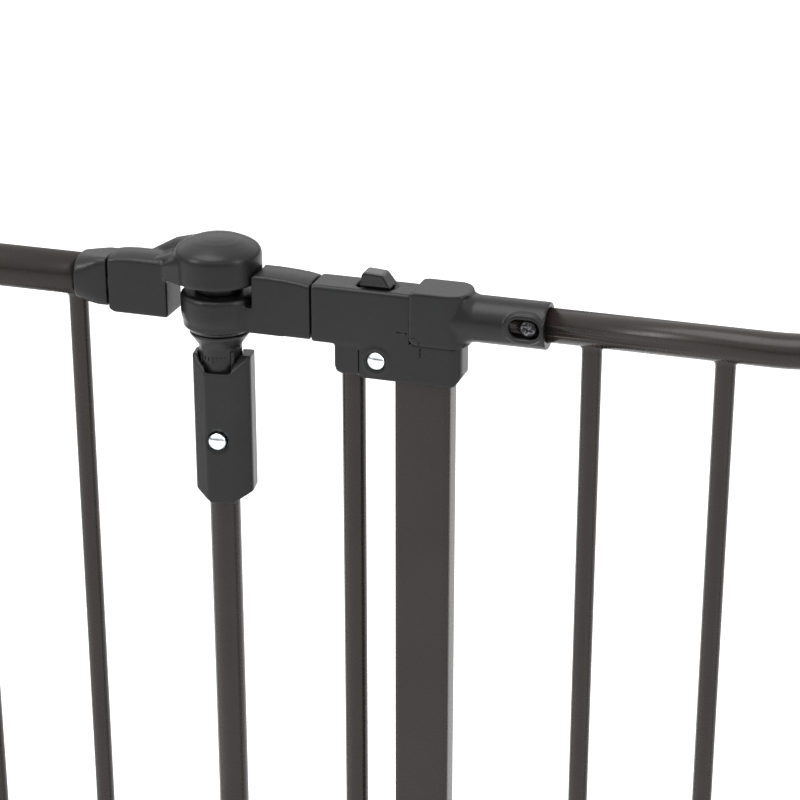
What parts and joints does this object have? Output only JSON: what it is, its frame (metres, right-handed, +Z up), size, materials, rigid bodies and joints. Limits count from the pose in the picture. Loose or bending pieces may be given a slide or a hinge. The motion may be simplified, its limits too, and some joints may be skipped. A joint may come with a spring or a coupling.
{
  "type": "safety baby gate",
  "caption": "Safety baby gate: lift-and-swing walk-through door with a thumb-slide latch, and a barred extension panel swivelling on a joint post at each end.",
  "frame": {"origin": "on the floor, on the axis of the left swivel joint, at the centre of that post's foot", "axes": "+Z up; +X from the left joint along the door section; the left panel runs along -X; +Y is the back, where the right panel turns the corner"},
  "size_m": [1.4173, 0.6705, 0.7512],
  "materials": {
    "bronze_coat": "dark bronze satin powder coat",
    "black_plastic": "fine-grained black moulding",
    "gloss_plastic": "polished black",
    "zinc": "bright zinc plate",
    "black_screw": "black oxide",
    "rubber_foot": "matte black rubber"
  },
  "bodies": {
    "door_frame": {"latch_housing": "black_plastic", "hinge_housing": "black_plastic", "lock_spring": "zinc", "top_hinge_pin": "zinc", "bottom_hinge_pin": "zinc", "latch_post": "bronze_coat", "hinge_post": "bronze_coat", "side_bar": "bronze_coat", "threshold_bar": "bronze_coat", "bottom_catch": "black_plastic", "left_lower_arm": "black_plastic", "left_pivot_spindle": "black_plastic", "left_post_sleeve": "black_plastic", "left_bottom_eye": "black_plastic", "left_joint_post": "bronze_coat", "left_foot": "rubber_foot", "right_lower_arm": "black_plastic", "right_pivot_spindle": "black_plastic", "right_post_sleeve": "black_plastic", "right_bottom_eye": "black_plastic", "right_joint_post": "bronze_coat", "right_foot": "rubber_foot"},
    "left_panel": {"left_top_rail": "bronze_coat", "left_bar_grille": "bronze_coat", "left_end_post": "bronze_coat", "left_collar": "black_plastic", "left_upper_arm": "black_plastic", "left_panel_bottom_eye": "black_plastic", "left_end_foot": "rubber_foot", "left_wall_bracket_top": "black_plastic", "left_wall_bracket_bottom": "black_plastic"},
    "right_panel": {"right_top_rail": "bronze_coat", "right_bar_grille": "bronze_coat", "right_end_post": "bronze_coat", "right_collar": "black_plastic", "right_upper_arm": "black_plastic", "right_panel_bottom_eye": "black_plastic", "right_end_foot": "rubber_foot", "right_wall_bracket_top": "black_plastic", "right_wall_bracket_bottom": "black_plastic"},
    "swing_bush": {"hinge_bush": "black_plastic"},
    "door_leaf": {"latch_cap": "black_plastic", "hinge_cap": "black_plastic", "adjusting_screw": "black_screw", "door_top_rail": "bronze_coat", "door_bottom_rail": "bronze_coat", "door_bar_1": "bronze_coat", "door_bar_2": "bronze_coat", "door_bar_3": "bronze_coat", "door_bar_4": "bronze_coat", "door_bar_5": "bronze_coat", "door_bar_6": "bronze_coat", "door_bar_7": "bronze_coat", "bottom_hinge_cap": "black_plastic", "bottom_latch_cap": "black_plastic"},
    "thumb_lock": {"lock_slider": "gloss_plastic"},
    "left_joint_button": {"left_snap_button": "zinc"},
    "right_joint_button": {"right_snap_button": "zinc"},
    "latch_button": {"latch_snap_button": "zinc"},
    "hinge_button": {"hinge_snap_button": "zinc"}
  },
  "joints": [
    {"name": "left_swivel", "type": "hinge", "parent": "door_frame", "child": "left_panel", "pos_m": [0, 0, 0.72], "axis": [0, 0, 1], "range_deg": [-90, 90]},
    {"name": "right_swivel", "type": "hinge", "parent": "door_frame", "child": "right_panel", "pos_m": [0.7468, 0, 0.72], "axis": [0, 0, 1], "range_deg": [-180, 0]},
    {"name": "door_swing", "type": "hinge", "parent": "door_frame", "child": "swing_bush", "pos_m": [0.6429, 0, 0.72], "axis": [0, 0, 1], "range_deg": [-90, 90]},
    {"name": "door_lift", "type": "slide", "parent": "swing_bush", "child": "door_leaf", "axis": [0, 0, 1], "range_m": [0, 0.012]},
    {"name": "thumb_lock_slide", "type": "slide", "parent": "door_frame", "child": "thumb_lock", "axis": [1, 0, 0], "range_m": [-0.0045, 0], "stiffness_N_per_m": 500, "springref_m": 0.004},
    {"name": "left_joint_button_press", "type": "slide", "parent": "door_frame", "child": "left_joint_button", "axis": [-0.1564, 0.9877, 0], "range_m": [0, 0.007], "stiffness_N_per_m": 1200, "springref_m": -0.004},
    {"name": "right_joint_button_press", "type": "slide", "parent": "door_frame", "child": "right_joint_button", "axis": [-0.1564, 0.9877, 0], "range_m": [0, 0.007], "stiffness_N_per_m": 1200, "springref_m": -0.004},
    {"name": "latch_button_press", "type": "slide", "parent": "door_frame", "child": "latch_button", "axis": [0, 1, 0], "range_m": [0, 0.004], "stiffness_N_per_m": 1200, "springref_m": -0.004},
    {"name": "hinge_button_press", "type": "slide", "parent": "door_frame", "child": "hinge_button", "axis": [0, 1, 0], "range_m": [0, 0.004], "stiffness_N_per_m": 1200, "springref_m": -0.004}
  ]
}
